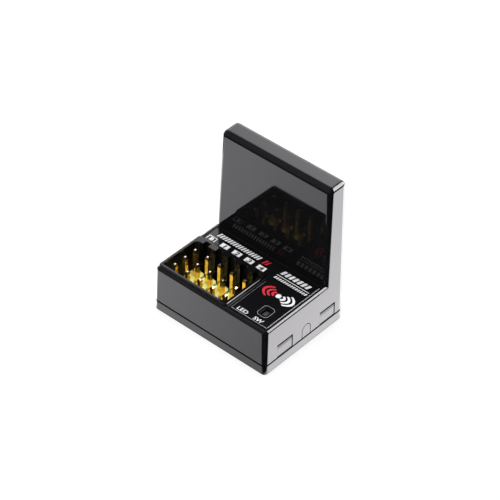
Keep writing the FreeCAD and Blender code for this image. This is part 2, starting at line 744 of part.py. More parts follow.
def build_header_base(name, column):
    """Moulded strip of three bevelled cells that holds one column of contact pins."""
    body = new_body(name)
    place(body, f"({PIN_X} + {column} * {S}channel_pitch)", PIN_Y, BOARD_TOP)
    strip = new_sketch(body, name + "_outline")
    half, bevel = f"({S}cell_width / 2)", f"{S}cell_bevel"
    right_side, left_side = [], []
    for cell in range(len(ROWS)):
        near = f"({cell - 0.5} * {S}pin_pitch)"
        far = f"({cell + 0.5} * {S}pin_pitch)"
        right_side.append((f"({half} - {bevel})", near))
        right_side += [(half, f"({near} + {bevel})"), (half, f"({far} - {bevel})")]
        left_side += [(f"(-{half} + {bevel})", near), (f"(-{half})", f"({near} + {bevel})"),
                      (f"(-{half})", f"({far} - {bevel})")]
    end = f"({len(ROWS) - 0.5} * {S}pin_pitch)"
    right_side.append((f"({half} - {bevel})", end))
    left_side.append((f"(-{half} + {bevel})", end))
    outline(strip, right_side + left_side[::-1])
    pad(body, strip, f"{S}header_height")
    holes = new_sketch(body, name + "_holes")
    for row in range(len(ROWS)):
        close, deep = centred(f"({row} * {S}pin_pitch)", f"({S}pin_size + 2 * {S}pin_hole_gap)")
        near, far = centred("0", f"({S}pin_size + 2 * {S}pin_hole_gap)")
        rectangle(holes, near, close, far, deep)
    pocket(body, holes, f"{S}header_height", reverse=True)
    return body


def build_contact_pin(name, column, row):
    """Gilt square pin with tapered ends, soldered through the main board."""
    body = new_body(name)
    place(body, f"({PIN_X} + {column} * {S}channel_pitch)", f"({PIN_Y} + {row} * {S}pin_pitch)",
          f"({S}board_level - {S}tail_length)")
    section = new_sketch(body, name + "_section")
    near, far = centred("0", f"{S}pin_size")
    rectangle(section, near, near, far, far)
    shape = pad(body, section, f"({COLLAR_TOP} - {S}pin_recess - {S}board_level + {S}tail_length)")
    chamfer(body, shape, lambda middle, run: abs(run.z) < 0.01, f"{S}pin_taper")
    return body


def build_link_pin(name, number):
    """Bent pin: through the fin board, along the base and down through the main board."""
    body = new_body(name)
    place(body, f"({LINK_FIRST_X} + {number} * {S}link_pitch)")
    bend = new_sketch(body, name + "_outline", "YZ_Plane")
    near, far = centred(LINK_LEG_Y, f"{S}link_size")
    low, high = centred(LINK_Z, f"{S}link_size")
    tip = f"({FIN_BOARD_Y} + {S}fin_board_thickness / 2 + {S}link_tail)"
    tail = f"({S}board_level - {S}link_tail)"
    outline(bend, [(near, tail), (far, tail), (far, low), (tip, low), (tip, high), (near, high)])
    pad(body, bend, f"{S}link_size", midplane=True)
    return body


def build_link_base():
    """Strip that carries the four link pins against the fin board."""
    body = new_body("link_header_base", BOARD_TOP)
    foot = new_sketch(body, "link_foot")
    half = f"(2 * {S}link_pitch)"
    rectangle(foot, f"(-{half})", f"({FIN_BOARD_FRONT} - {S}link_base_depth)", half, FIN_BOARD_FRONT)
    pad(body, foot, f"{S}link_base_height")
    holes = new_sketch(body, "link_base_holes", "XZ_Plane", f"(-{FIN_BOARD_FRONT})")
    near, far = centred(LINK_FIRST_X, f"({S}link_size + 2 * {S}pin_hole_gap)")
    low, high = centred(f"{S}link_level", f"({S}link_size + 2 * {S}pin_hole_gap)")
    rectangle(holes, near, low, far, high)
    cut = pocket(body, holes, f"(2 * {S}link_base_depth)", midplane=True)
    row_of(body, cut, f"{S}link_pitch", 4)
    return body


def build_switch_body():
    """Square switch housing with a room for the dome and the plunger's flange."""
    body = new_body("switch_body")
    place(body, SWITCH_X, SWITCH_Y, BOARD_TOP)
    near, far = centred("0", f"{S}switch_size")
    block = new_sketch(body, "switch_block")
    rectangle(block, near, near, far, far)
    pad(body, block, f"{S}switch_body_height")
    room = new_sketch(body, "dome_room", offset=f"({DOME_FLOOR} - {BOARD_TOP})")
    near, far = centred("0", f"({S}switch_size - 2 * {S}switch_wall)")
    rectangle(room, near, near, far, far)
    pocket(body, room, f"{S}switch_body_height", reverse=True)
    return body


def build_switch_frame():
    """Folded metal cover over the switch housing, pierced for the stem."""
    body = new_body("switch_frame")
    place(body, SWITCH_X, SWITCH_Y, SWITCH_TOP)
    half = f"({S}switch_size / 2)"
    out = f"({half} + {S}frame_sheet)"
    fold = new_sketch(body, "frame_fold", "XZ_Plane")
    outline(fold, [(f"(-{out})", f"(-{S}frame_skirt)"), (f"(-{half})", f"(-{S}frame_skirt)"),
                   (f"(-{half})", "0"),
                   (half, "0"), (half, f"(-{S}frame_skirt)"), (out, f"(-{S}frame_skirt)"),
                   (out, f"{S}frame_sheet"), (f"(-{out})", f"{S}frame_sheet")])
    pad(body, fold, f"{S}switch_size", midplane=True)
    hole = new_sketch(body, "frame_hole")
    rounded_rectangle(hole, *stem_sides(f"{S}stem_gap"), f"{S}hole_corner")
    pocket(body, hole, f"{S}frame_sheet", reverse=True)
    return body


def stem_sides(growth):
    """The stem's four sides about the switch's axis, grown by a gap."""
    near, far = centred("0", f"({S}hole_width - 2 * {S}stem_gap + 2 * {growth})")
    close, deep = centred("0", f"({S}hole_length - 2 * {S}stem_gap + 2 * {growth})")
    return near, close, far, deep


def build_switch_plunger():
    """Flange and tall stem, pressed through the hole in the deck."""
    body = new_body("switch_plunger")
    place(body, SWITCH_X, SWITCH_Y, FLANGE_BOTTOM)
    near, far = centred("0", f"{S}flange_size")
    flange = new_sketch(body, "plunger_flange")
    rectangle(flange, near, near, far, far)
    pad(body, flange, f"{S}flange_height")
    stem = new_sketch(body, "plunger_stem")
    rounded_rectangle(stem, *stem_sides("0"), f"({S}hole_corner - {S}stem_gap / 2)")
    length = f"({RECESS_FLOOR} - {S}stem_recess - {FLANGE_BOTTOM})"
    shape = pad(body, stem, length)
    head = at_level(length)
    chamfer(body, shape, lambda middle, run: head(middle), f"{S}chip_bevel")
    return body


def build_switch_dome():
    """Sprung steel dome under the flange: a thin cap of a sphere."""
    ball = f"(({S}dome_radius ^ 2 + {DOME_HEIGHT} ^ 2) / (2 * {DOME_HEIGHT}))"
    middle = f"({DOME_FLOOR} + {DOME_HEIGHT} - {ball})"
    outer = doc.addObject("Part::Sphere", "dome_outside")
    outer.setExpression("Radius", ball)
    inner = doc.addObject("Part::Sphere", "dome_inside")
    inner.setExpression("Radius", f"({ball} - {S}dome_sheet)")
    blank = doc.addObject("Part::Cylinder", "dome_blank")
    blank.setExpression("Radius", f"{S}dome_radius")
    blank.setExpression("Height", f"({DOME_HEIGHT} + 1)")
    place(blank, SWITCH_X, SWITCH_Y, DOME_FLOOR)
    for sphere in (outer, inner):
        place(sphere, SWITCH_X, SWITCH_Y, middle)
    skin = doc.addObject("Part::Cut", "dome_skin")
    skin.Base, skin.Tool = outer, inner
    dome = doc.addObject("Part::Common", "switch_dome")
    dome.Base, dome.Tool = blank, skin
    dome.Label = "switch_dome"
    doc.recompute()
    return dome


def build_chip(name, across, along, length, width, height):
    """A moulded package or ceramic block soldered on the main board."""
    body = new_body(name)
    place(body, across, along, BOARD_TOP)
    block = new_sketch(body, name + "_outline")
    near, far = centred("0", length)
    close, deep = centred("0", width)
    rectangle(block, near, close, far, deep)
    shape = pad(body, block, height)
    top = at_level(height)
    chamfer(body, shape, lambda middle, run: top(middle), f"{S}chip_bevel")
    return body


def build_shield_can():
    """Drawn sheet can over the radio parts, open below."""
    body = new_body("shield_can")
    place(body, CAN_X, CAN_Y, BOARD_TOP)
    block = new_sketch(body, "can_outline")
    near, far = centred("0", f"{S}can_width")
    close, deep = centred("0", f"{S}can_length")
    rectangle(block, near, close, far, deep)
    shape = pad(body, block, f"{S}can_height")
    foot = at_level("0")
    fillet(body, shape, lambda middle, run: not foot(middle), f"{S}can_corner")
    room = new_sketch(body, "can_room")
    rounded_rectangle(room, f"({near} + {S}can_sheet)", f"({close} + {S}can_sheet)",
                      f"({far} - {S}can_sheet)", f"({deep} - {S}can_sheet)",
                      f"({S}can_corner - {S}can_sheet / 2)")
    pocket(body, room, f"({S}can_height - {S}can_sheet)", reverse=True)
    return body


def build_voltage_regulator():
    """Five-lead regulator package: moulded body on flat formed leads."""
    across = f"({CONTROLLER_RIGHT} + {S}part_spacing + {S}regulator_length / 2)"
    along = f"({BEHIND_WELL} + {S}regulator_width / 2)"
    body = build_chip("voltage_regulator", across, along, f"{S}regulator_length", f"{S}regulator_width",
                      f"{S}regulator_height")
    leads = new_sketch(body, "regulator_leads")
    reach = f"({S}regulator_width / 2 + {S}lead_reach)"
    root = f"({S}regulator_width / 4)"
    for step in (-1, 0, 1):
        near, far = centred(f"({step} * {S}lead_pitch)", f"{S}lead_width")
        rectangle(leads, near, root, far, reach)
        if step:
            rectangle(leads, near, f"(-{reach})", far, f"(-{root})")
    pad(body, leads, f"{S}lead_sheet")
    return body


def build_parts_on_board():
    """Packages under the shield can, behind the plug well and beside the switch."""
    inner_left = f"({CAN_X} - {S}can_width / 2 + {S}can_margin)"
    inner_right = f"({CAN_X} + {S}can_width / 2 - {S}can_margin)"
    inner_back = f"({CAN_Y} + {S}can_length / 2 - {S}can_margin)"
    inner_front = f"({CAN_Y} - {S}can_length / 2 + {S}can_margin)"
    build_chip("radio_chip", f"({inner_left} + {S}radio_size / 2)", f"({inner_front} + {S}radio_size / 2)",
               f"{S}radio_size", f"{S}radio_size", f"{S}radio_height")
    build_chip("front_end_chip", f"({inner_right} - {S}front_end_width / 2)",
               f"({inner_front} + {S}front_end_length / 2)", f"{S}front_end_width", f"{S}front_end_length",
               f"{S}front_end_height")
    build_chip("crystal", f"({inner_right} - {S}crystal_length / 2)",
               f"({inner_back} - {S}crystal_width / 2)",
               f"{S}crystal_length", f"{S}crystal_width", f"{S}crystal_height")
    build_chip("controller_chip", f"({CONTROLLER_RIGHT} - {S}controller_size / 2)",
               f"({BEHIND_WELL} + {S}controller_size / 2)", f"{S}controller_size", f"{S}controller_size",
               f"{S}controller_height")
    build_voltage_regulator()
    beside = f"({CONTROLLER_RIGHT} + 2 * {S}part_spacing + {S}regulator_length)"
    build_chip("output_capacitor", f"({beside} + {S}output_capacitor_width / 2)",
               f"({BEHIND_WELL} + {S}output_capacitor_length / 2)", f"{S}output_capacitor_width",
               f"{S}output_capacitor_length", f"{S}output_capacitor_width")
    beside = f"({beside} + {S}output_capacitor_width + {S}part_spacing)"
    build_chip("input_capacitor", f"({beside} + {S}input_capacitor_length / 2)",
               f"({BEHIND_WELL} + {S}input_capacitor_width / 2)", f"{S}input_capacitor_length",
               f"{S}input_capacitor_width", f"{S}input_capacitor_width")
    build_chip("status_led", LED_X, LED_Y, f"{S}led_length", f"{S}led_width", f"{S}led_height")


def build_receiver():
    """Every piece of the receiver, from the casing inwards."""
    build_upper_case()
    build_bottom_cover()
    build_top_label()
    build_main_board()
    build_antenna_board()
    build_antenna_element("antenna_element_left", -1)
    build_antenna_element("antenna_element_right", 1)
    for column, mark in enumerate(COLUMNS):
        build_header_base(f"header_base_{mark}", column)
        for row, use in enumerate(ROWS):
            build_contact_pin(f"pin_{mark}_{use}", column, row)
    build_link_base()
    for number in range(4):
        build_link_pin(f"link_pin_{number + 1}", number)
    build_switch_body()
    build_switch_frame()
    build_switch_dome()
    build_switch_plunger()
    build_shield_can()
    build_parts_on_board()


def finished_pieces():
    """The document's pieces, checked: a body each, and the dome's last boolean."""
    doc.recompute()
    for item in doc.Objects:
        if "Invalid" in item.State or "Error" in item.State:
            raise RuntimeError(f"{item.Name} failed: {item.State}")
    pieces = [item for item in doc.Objects
              if item.TypeId == "PartDesign::Body" or item.Label == "switch_dome"]
    for piece in pieces:
        if piece.Shape.isNull() or not piece.Shape.isValid() or len(piece.Shape.Solids) != 1:
            raise RuntimeError(f"{piece.Label} is not one sound solid")
    return pieces


build_receiver()
os.makedirs("parts", exist_ok=True)
for piece in finished_pieces():
    piece.Shape.exportStep(f"parts/{piece.Label}.step")
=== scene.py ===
import math
import bpy
from mathutils import Matrix, Vector


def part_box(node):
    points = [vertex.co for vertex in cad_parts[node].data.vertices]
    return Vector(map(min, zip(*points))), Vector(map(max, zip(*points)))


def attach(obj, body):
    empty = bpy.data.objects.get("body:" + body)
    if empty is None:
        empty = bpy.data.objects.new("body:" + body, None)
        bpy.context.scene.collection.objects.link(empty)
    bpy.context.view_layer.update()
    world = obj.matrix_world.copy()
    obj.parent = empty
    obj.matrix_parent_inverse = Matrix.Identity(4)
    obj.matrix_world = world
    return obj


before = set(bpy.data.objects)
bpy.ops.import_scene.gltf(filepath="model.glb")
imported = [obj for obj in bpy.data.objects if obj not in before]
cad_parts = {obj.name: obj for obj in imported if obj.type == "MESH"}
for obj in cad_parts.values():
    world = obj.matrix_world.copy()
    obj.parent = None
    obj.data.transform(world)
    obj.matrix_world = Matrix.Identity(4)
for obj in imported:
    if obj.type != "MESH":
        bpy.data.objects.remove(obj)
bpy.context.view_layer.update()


# The camera stands above the receiver's front right corner, as in the photograph, and looks
# down on the plug well and the label. The long lens keeps the fin's edges nearly parallel.
MM = 0.001
LENS, SENSOR = 158.4, 36
TURN, RISE, TILT = 39.968, 41.306, 2.031
MIDDLE_HEIGHT, DISTANCE = 8, 372.844
AIM_UP, AIM_RIGHT = 4.753, 0.150
scene = bpy.context.scene
camera_data = bpy.data.cameras.new("product_camera")
camera_data.sensor_width = SENSOR
camera_data.lens = LENS
camera_data.clip_start, camera_data.clip_end = 0.01, 10
camera = bpy.data.objects.new("product_camera", camera_data)
scene.collection.objects.link(camera)
scene.camera = camera

turn, rise, tilt = math.radians(TURN), math.radians(RISE), math.radians(TILT)
towards_camera = Vector((math.sin(turn) * math.cos(rise), -math.cos(turn) * math.cos(rise), math.sin(rise)))
level_right = Vector((math.cos(turn), math.sin(turn), 0))
level_up = towards_camera.cross(level_right)
view_right = level_right * math.cos(tilt) + level_up * math.sin(tilt)
view_up = level_up * math.cos(tilt) - level_right * math.sin(tilt)
middle = Vector((0, 0, MIDDLE_HEIGHT * MM))
stand = middle + towards_camera * DISTANCE * MM
aim = middle + view_up * AIM_UP * MM + view_right * AIM_RIGHT * MM
back = (stand - aim).normalized()
side = view_up.cross(back).normalized()
camera.matrix_world = Matrix.Translation(stand) @ Matrix((side, back.cross(side), back)).transposed().to_4x4()


# The casing is one upper moulding, with the aerial fin and the plug well, over a snapped-on
# bottom cover. Both are black styrene blend, injection moulded in a polished tool.
NOISE_LOW, NOISE_HIGH = 0.3, 0.7
GRAIN_SHARE = 0.25
DUST_RIM, DUST_CORE, DUST_CHANCE = 0.10, 0.04, 0.9
SKIN_BUMP = 0.5


def reckoned(tree, operation, *values):
    """The result of a maths node on sockets and plain numbers."""
    node = tree.nodes.new("ShaderNodeMath")
    node.operation = operation
    for socket, value in zip(node.inputs, values):
        if isinstance(value, bpy.types.NodeSocket):
            tree.links.new(value, socket)
        else:
            socket.default_value = value
    return node.outputs["Value"]


def ranged(tree, value, start, end, low=0.0, high=1.0):
    """A value brought from one range to another, and held at its ends."""
    node = tree.nodes.new("ShaderNodeMapRange")
    for name, number in (("From Min", start), ("From Max", end), ("To Min", low), ("To Max", high)):
        node.inputs[name].default_value = number
    tree.links.new(value, node.inputs["Value"])
    return node.outputs["Result"]


def tinted(tree, share, under, over):
    """Two colours mixed by a share. Each is a socket or three numbers."""
    node = tree.nodes.new("ShaderNodeMix")
    node.data_type = "RGBA"
    tree.links.new(share, node.inputs["Factor"])
    for name, colour in (("A", under), ("B", over)):
        if isinstance(colour, bpy.types.NodeSocket):
            tree.links.new(colour, node.inputs[name])
        else:
            node.inputs[name].default_value = (*colour, 1)
    return node.outputs["Result"]


def split_place(tree):
    """The object's own coordinates, split into X, Y and Z."""
    place, parts = tree.nodes.new("ShaderNodeTexCoord"), tree.nodes.new("ShaderNodeSeparateXYZ")
    tree.links.new(place.outputs["Object"], parts.inputs["Vector"])
    return parts.outputs


def start_finish(name, group):
    """A new finish with a pattern group in it, its node tree, its shader and the group's node."""
    finish = bpy.data.materials.new(name)
    finish.use_nodes = True
    tree = finish.node_tree
    pattern, place = tree.nodes.new("ShaderNodeGroup"), tree.nodes.new("ShaderNodeTexCoord")
    pattern.node_tree = group
    tree.links.new(place.outputs["Object"], pattern.inputs["Position"])
    return finish, tree, tree.nodes["Principled BSDF"], pattern


def surfaced(tree, shader, gloss, rough, height, strength, depth):
    """A range of roughness that follows one noise, and a bump from another, in millimetres."""
    tree.links.new(ranged(tree, gloss, NOISE_LOW, NOISE_HIGH, *rough), shader.inputs["Roughness"])
    bump = tree.nodes.new("ShaderNodeBump")
    bump.inputs["Strength"].default_value = strength
    bump.inputs["Distance"].default_value = depth * MM
    tree.links.new(height, bump.inputs["Height"])
    tree.links.new(bump.outputs["Normal"], shader.inputs["Normal"])


def skin_group():
    """Moulded or printed skin: shallow flow marks, fine grain and sparse dust, from a position."""
    group = bpy.data.node_groups.new("moulded_skin", "ShaderNodeTree")
    face = group.interface
    face.new_socket("Position", in_out="INPUT", socket_type="NodeSocketVector")
    for name, start in (("Flow Size", 180.0), ("Grain Size", 9000.0), ("Dust Size", 6000.0)):
        face.new_socket(name, in_out="INPUT", socket_type="NodeSocketFloat").default_value = start
    for name in ("Flow", "Height", "Dust"):
        face.new_socket(name, in_out="OUTPUT", socket_type="NodeSocketFloat")
    nodes, links = group.nodes, group.links
    given, put = nodes.new("NodeGroupInput"), nodes.new("NodeGroupOutput")
    flow, grain = nodes.new("ShaderNodeTexNoise"), nodes.new("ShaderNodeTexNoise")
    flow.inputs["Detail"].default_value = 2
    grain.inputs["Detail"].default_value = 4
    dust = nodes.new("ShaderNodeTexVoronoi")
    dust.inputs["Randomness"].default_value = 1
    for texture, size in ((flow, "Flow Size"), (grain, "Grain Size"), (dust, "Dust Size")):
        links.new(given.outputs["Position"], texture.inputs["Vector"])
        links.new(given.outputs[size], texture.inputs["Scale"])
    height = reckoned(group, "MULTIPLY_ADD", grain.outputs["Fac"], GRAIN_SHARE, flow.outputs["Fac"])
    speck = ranged(group, dust.outputs["Distance"], DUST_RIM, DUST_CORE)
    split = nodes.new("ShaderNodeSeparateColor")
    links.new(dust.outputs["Color"], split.inputs["Color"])
    chosen = reckoned(group, "GREATER_THAN", split.outputs["Red"], DUST_CHANCE)
    links.new(flow.outputs["Fac"], put.inputs["Flow"])
    links.new(height, put.inputs["Height"])
    links.new(reckoned(group, "MULTIPLY", speck, chosen), put.inputs["Dust"])
    return group


moulded_skin = skin_group()


def skin_finish(name, tone, tone_between, rough, grain=9000.0, depth=0.002, dusty=0.0, bend=1.5):
    """A finish on the moulded skin: two close tones, a range of roughness and a shallow bump."""
    finish, tree, shader, skin = start_finish(name, moulded_skin)
    skin.inputs["Grain Size"].default_value = grain
    shade = tinted(tree, skin.outputs["Flow"], tone, tone_between)
    if dusty:
        shade = tinted(tree, skin.outputs["Dust"], shade, (dusty, dusty, dusty))
    tree.links.new(shade, shader.inputs["Base Color"])
    surfaced(tree, shader, skin.outputs["Flow"], rough, skin.outputs["Height"], SKIN_BUMP, depth)
    shader.inputs["IOR"].default_value = bend
    return finish


def dress(finish, *names):
    """Gives the CAD nodes their finish."""
    for name in names:
        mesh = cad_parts[name].data
        mesh.materials.clear()
        mesh.materials.append(finish)


def inside_zone(tree, parts, zone):
    """1 inside a box, given by its low and high ends on each axis, and 0 outside it."""
    inside = None
    for axis, (low, high) in zip("XYZ", zone):
        within = reckoned(tree, "COMPARE", parts[axis], (low + high) / 2, (high - low) / 2)
        inside = reckoned(tree, "MULTIPLY", inside, within) if inside else within
    return inside


casing_black = skin_finish("casing_black", (0.0028, 0.0028, 0.0031), (0.0042, 0.0041, 0.0045), (0.03, 0.055),
                           depth=0.0012, dusty=0.03, bend=1.2)
# The tool's polish stops at the plug well's walls and at the inner edge of the label's recess,
# so the moulding is matt in these two zones.
MATT_ROUGHNESS = 0.6
WELL_SIDE, WELL_END, WELL_HEIGHTS = 0.6 * MM, 0.4 * MM, (3 * MM, 9.6 * MM)
well_low, well_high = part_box("header_base_b")[0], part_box("header_base_4")[1]
well_walls = ((well_low.x - WELL_SIDE, well_high.x + WELL_SIDE),
              (well_low.y - WELL_END, well_high.y + WELL_END), WELL_HEIGHTS)
recess_edge = ((3.25 * MM, 3.46 * MM), (-9.2 * MM, 0.9 * MM), (9.5 * MM, 9.72 * MM))
tree = casing_black.node_tree
roughness = tree.nodes["Principled BSDF"].inputs["Roughness"]
polished = roughness.links[0].from_socket
parts = split_place(tree)
zones = [inside_zone(tree, parts, zone) for zone in (well_walls, recess_edge)]
unpolished = reckoned(tree, "MAXIMUM", *zones)
dull = tree.nodes.new("ShaderNodeMix")
dull.inputs["B"].default_value = MATT_ROUGHNESS
tree.links.new(unpolished, dull.inputs["Factor"])
tree.links.new(polished, dull.inputs["A"])
tree.links.new(dull.outputs["Result"], roughness)
dress(casing_black, "upper_case", "bottom_cover")


# The label is a black polyester film, L shaped, laid in the deck's recess and printed in white
# and red. Its legends here are plain numerals, bars and arcs of a general kind.
film_black = skin_finish("film_black", (0.003, 0.003, 0.0034), (0.0042, 0.0042, 0.0046), (0.12, 0.16),
                         grain=14000.0, depth=0.001, bend=1.2)
dress(film_black, "top_label")
label_low, label_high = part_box("top_label")
PRINT_LEVEL = label_high.z
INK_THICKNESS = 0.012 * MM
CAPITAL_SHARE = 0.73


def ink(name, tone, tone_between):
    """Screen printing ink: satin, with a very fine grain."""
    return skin_finish(name, tone, tone_between, (0.35, 0.45), grain=16000.0, depth=0.001)


ink_white = ink("ink_white", (0.54, 0.54, 0.55), (0.58, 0.58, 0.58))
ink_red = ink("ink_red", (0.4, 0.014, 0.026), (0.45, 0.018, 0.034))
# Grey ink prints the switch's outline, and the same grey is a painted highlight along the film's edge by the
# well.
grey_ink_and_edge_highlight = ink("grey_ink_and_edge_highlight", (0.16, 0.16, 0.17), (0.2, 0.2, 0.21))
# Painted highlight: this light grey stands in for the glint on the film's cut edges.
edge_highlight_paint = ink("edge_highlight_paint", (0.26, 0.26, 0.27), (0.32, 0.32, 0.33))


def laid(name, mesh):
    """Lays a print on the film."""
    piece = bpy.data.objects.new(name, mesh)
    scene.collection.objects.link(piece)
    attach(piece, "receiver")


def printed(name, outlines, finish):
    """A flat print of outlines in millimetres from the receiver's middle, an ink's thickness high."""
    corners, faces = [], []
    for outline in outlines:
        first, count = len(corners), len(outline)
        corners += [(x * MM, y * MM, PRINT_LEVEL) for x, y in outline]
        corners += [(x * MM, y * MM, PRINT_LEVEL + INK_THICKNESS) for x, y in outline]
        faces.append([first + index for index in reversed(range(count))])
        faces.append([first + count + index for index in range(count)])
        for index in range(count):
            after = (index + 1) % count
            faces.append([first + index, first + after, first + count + after, first + count + index])
    mesh = bpy.data.meshes.new(name)
    mesh.from_pydata(corners, [], faces)
    mesh.materials.append(finish)
    laid(name, mesh)


def bar(left, right, low, high):
    """A straight bar's outline."""
    return [(left, low), (right, low), (right, high), (left, high)]


def lettered(name, words, finish, left, base, height, stretch, lean=0.0, layer=0, bold=0.0):
    """Plain letters or numerals in the built-in face, as a thin mesh on the film."""
    curve = bpy.data.curves.new(name + "_letters", "FONT")
    curve.body = words
    curve.size = 1
    curve.offset = bold
    curve.extrude = 0.5
    letters = bpy.data.objects.new(name + "_letters", curve)
    scene.collection.objects.link(letters)
    bpy.context.view_layer.update()
    mesh = bpy.data.meshes.new_from_object(letters.evaluated_get(bpy.context.evaluated_depsgraph_get()))
    bpy.data.objects.remove(letters)
    tall = height / CAPITAL_SHARE
    for vertex in mesh.vertices:
        x, y, z = vertex.co
        x, y = (x * stretch + y * lean) * tall, y * tall
        vertex.co = ((left + x) * MM, (base + y) * MM, PRINT_LEVEL + (z + 0.5 + layer) * INK_THICKNESS)
    mesh.materials.clear()
    mesh.materials.append(finish)
    laid(name, mesh)


# Channel numbers stand in white boxes behind the pins' columns, and the battery's letter stands
# in an outline. All are screen printed on the film, as the legends by the switch are.
BOX_FIRST, BOX_PITCH, BOX_HALF = -7.27, 2.76, 0.87
BOX_LOW, BOX_HIGH = 1.42, 2.46
for number in range(1, 5):
    centre = BOX_FIRST + (number - 1) * BOX_PITCH
    box = bar(centre - BOX_HALF, centre + BOX_HALF, BOX_LOW, BOX_HIGH)
    printed(f"channel_box_{number}", [box], ink_white)
    lettered(f"channel_number_{number}", str(number), film_black, left=centre - 0.45, base=BOX_LOW + 0.1,
             height=0.84, stretch=1.5, lean=0.2, layer=1, bold=0.03)
left, right, low, high, line = -11.2, -9.4, 1.38, 2.53, 0.12
printed("battery_box", [
    bar(left, right, high - line, high),
    bar(left, left + line, low, high - line),
    bar(right - line, right, low, high - line),
], ink_white)
lettered("battery_letter", "B", ink_white, left=-10.73, base=BOX_LOW + 0.08, height=0.82, stretch=1.2,
         lean=0.2, bold=0.02)
lettered("light_legend", "LED", ink_white, left=4.58, base=-8.54, height=0.82, stretch=1.15, bold=0.01)
lettered("switch_legend", "SW", ink_white, left=8.17, base=-8.6, height=0.84, stretch=1.1,
         lean=0.08, bold=0.01)


# Painted highlights: a thin light line along the film's front and right edges, and a fainter one along its
# edge beside the plug well, stand in for the glint of the film's cut edge. The lines don't overlap at the
# corners.
LINE_OUT, LINE_IN, LINE_CORNER = 0.06, 0.13, 0.14
WELL_LINE_LEFT, WELL_LINE_RIGHT, WELL_LINE_END = 3.77, 3.81, -0.2
near, far = label_low / MM, label_high / MM
printed("painted_edge_highlight", [
    bar(WELL_LINE_RIGHT, far.x - 0.12, near.y + LINE_OUT, near.y + LINE_IN),
    bar(far.x - LINE_IN, far.x - LINE_OUT, near.y + LINE_CORNER, far.y - 0.2),
], edge_highlight_paint)
# Painted highlight along the film's edge beside the plug well.
well_line = bar(WELL_LINE_LEFT, WELL_LINE_RIGHT, near.y + LINE_CORNER, WELL_LINE_END)
printed("painted_well_edge_highlight", [well_line], grey_ink_and_edge_highlight)


# Rows of slanted strokes fill the places of the printed titles: a fine row behind the channel
# numbers that ends in red, and a bold row with a thin rule and a small row under it.
def stroke_row_tree():
    """Strokes repeated along a row, each a thin block leaned to the right."""
    tree = bpy.data.node_groups.new("stroke_row", "GeometryNodeTree")
    face = tree.interface
    for name, kind, start in (("Strokes", "NodeSocketInt", 8), ("Pitch", "NodeSocketFloat", 0.0006),
                              ("Width", "NodeSocketFloat", 0.0003), ("Height", "NodeSocketFloat", 0.001),
                              ("Depth", "NodeSocketFloat", 0.00001), ("Lean", "NodeSocketFloat", 0.3),
                              ("Start", "NodeSocketVector", (0, 0, 0)), ("Ink", "NodeSocketMaterial", None)):
        socket = face.new_socket(name, in_out="INPUT", socket_type=kind)
        if start is not None:
            socket.default_value = start
    face.new_socket("Row", in_out="OUTPUT", socket_type="NodeSocketGeometry")
    nodes, links = tree.nodes, tree.links
    given, put = nodes.new("NodeGroupInput"), nodes.new("NodeGroupOutput")
    step = nodes.new("ShaderNodeCombineXYZ")
    links.new(given.outputs["Pitch"], step.inputs["X"])
    line = nodes.new("GeometryNodeMeshLine")
    links.new(given.outputs["Strokes"], line.inputs["Count"])
    links.new(given.outputs["Start"], line.inputs["Start Location"])
    links.new(step.outputs["Vector"], line.inputs["Offset"])
    size = nodes.new("ShaderNodeCombineXYZ")
    for source, axis in (("Width", "X"), ("Height", "Y"), ("Depth", "Z")):
        links.new(given.outputs[source], size.inputs[axis])
    block = nodes.new("GeometryNodeMeshCube")
    links.new(size.outputs["Vector"], block.inputs["Size"])
    spot, parts = nodes.new("GeometryNodeInputPosition"), nodes.new("ShaderNodeSeparateXYZ")
    links.new(spot.outputs["Position"], parts.inputs["Vector"])
    shift = nodes.new("ShaderNodeCombineXYZ")
    links.new(reckoned(tree, "MULTIPLY", parts.outputs["Y"], given.outputs["Lean"]), shift.inputs["X"])
    leaned = nodes.new("GeometryNodeSetPosition")
    links.new(block.outputs["Mesh"], leaned.inputs["Geometry"])
    links.new(shift.outputs["Vector"], leaned.inputs["Offset"])
    spread = nodes.new("GeometryNodeInstanceOnPoints")
    links.new(line.outputs["Mesh"], spread.inputs["Points"])
    links.new(leaned.outputs["Geometry"], spread.inputs["Instance"])
    real = nodes.new("GeometryNodeRealizeInstances")
    links.new(spread.outputs["Instances"], real.inputs["Geometry"])
    inked = nodes.new("GeometryNodeSetMaterial")
    links.new(real.outputs["Geometry"], inked.inputs["Geometry"])
    links.new(given.outputs["Ink"], inked.inputs["Material"])
    links.new(inked.outputs["Geometry"], put.inputs["Row"])
    return tree


stroke_row = stroke_row_tree()


def strokes(name, finish, left, low, high, count, pitch, width, lean=0.35):
    """A row of leaned strokes printed on the film, in millimetres."""
    values = {
        "Strokes": count, "Pitch": pitch * MM, "Width": width * MM, "Height": (high - low) * MM,
        "Depth": INK_THICKNESS, "Lean": lean, "Ink": finish,
        "Start": ((left + width / 2) * MM, (low + high) / 2 * MM, PRINT_LEVEL + INK_THICKNESS / 2),
    }
    seed = bpy.data.objects.new(name + "_seed", bpy.data.meshes.new(name + "_seed"))
    scene.collection.objects.link(seed)
    maker = seed.modifiers.new("maker", "NODES")
    maker.node_group = stroke_row
    for item in stroke_row.interface.items_tree:
        if item.in_out == "INPUT":
            maker[item.identifier] = values[item.name]
    bpy.context.view_layer.update()
    mesh = bpy.data.meshes.new_from_object(seed.evaluated_get(bpy.context.evaluated_depsgraph_get()))
    bpy.data.objects.remove(seed)
    mesh.name = name
    laid(name, mesh)


strokes("title_strokes", ink_white, left=-10.02, low=3.07, high=4.07, count=16, pitch=0.6, width=0.34)
strokes("title_strokes_red", ink_red, left=0.28, low=2.97, high=4.07, count=2, pitch=0.64, width=0.38)
strokes("bold_strokes", ink_white, left=4.4, low=3.02, high=4.06, count=7, pitch=0.89, width=0.58, lean=0.3)
printed("title_rule", [bar(left=4.02, right=11.1, low=2.46, high=2.58)], ink_white)
strokes("small_strokes", ink_white, left=4.1, low=1.58, high=2.1, count=14, pitch=0.51, width=0.28)


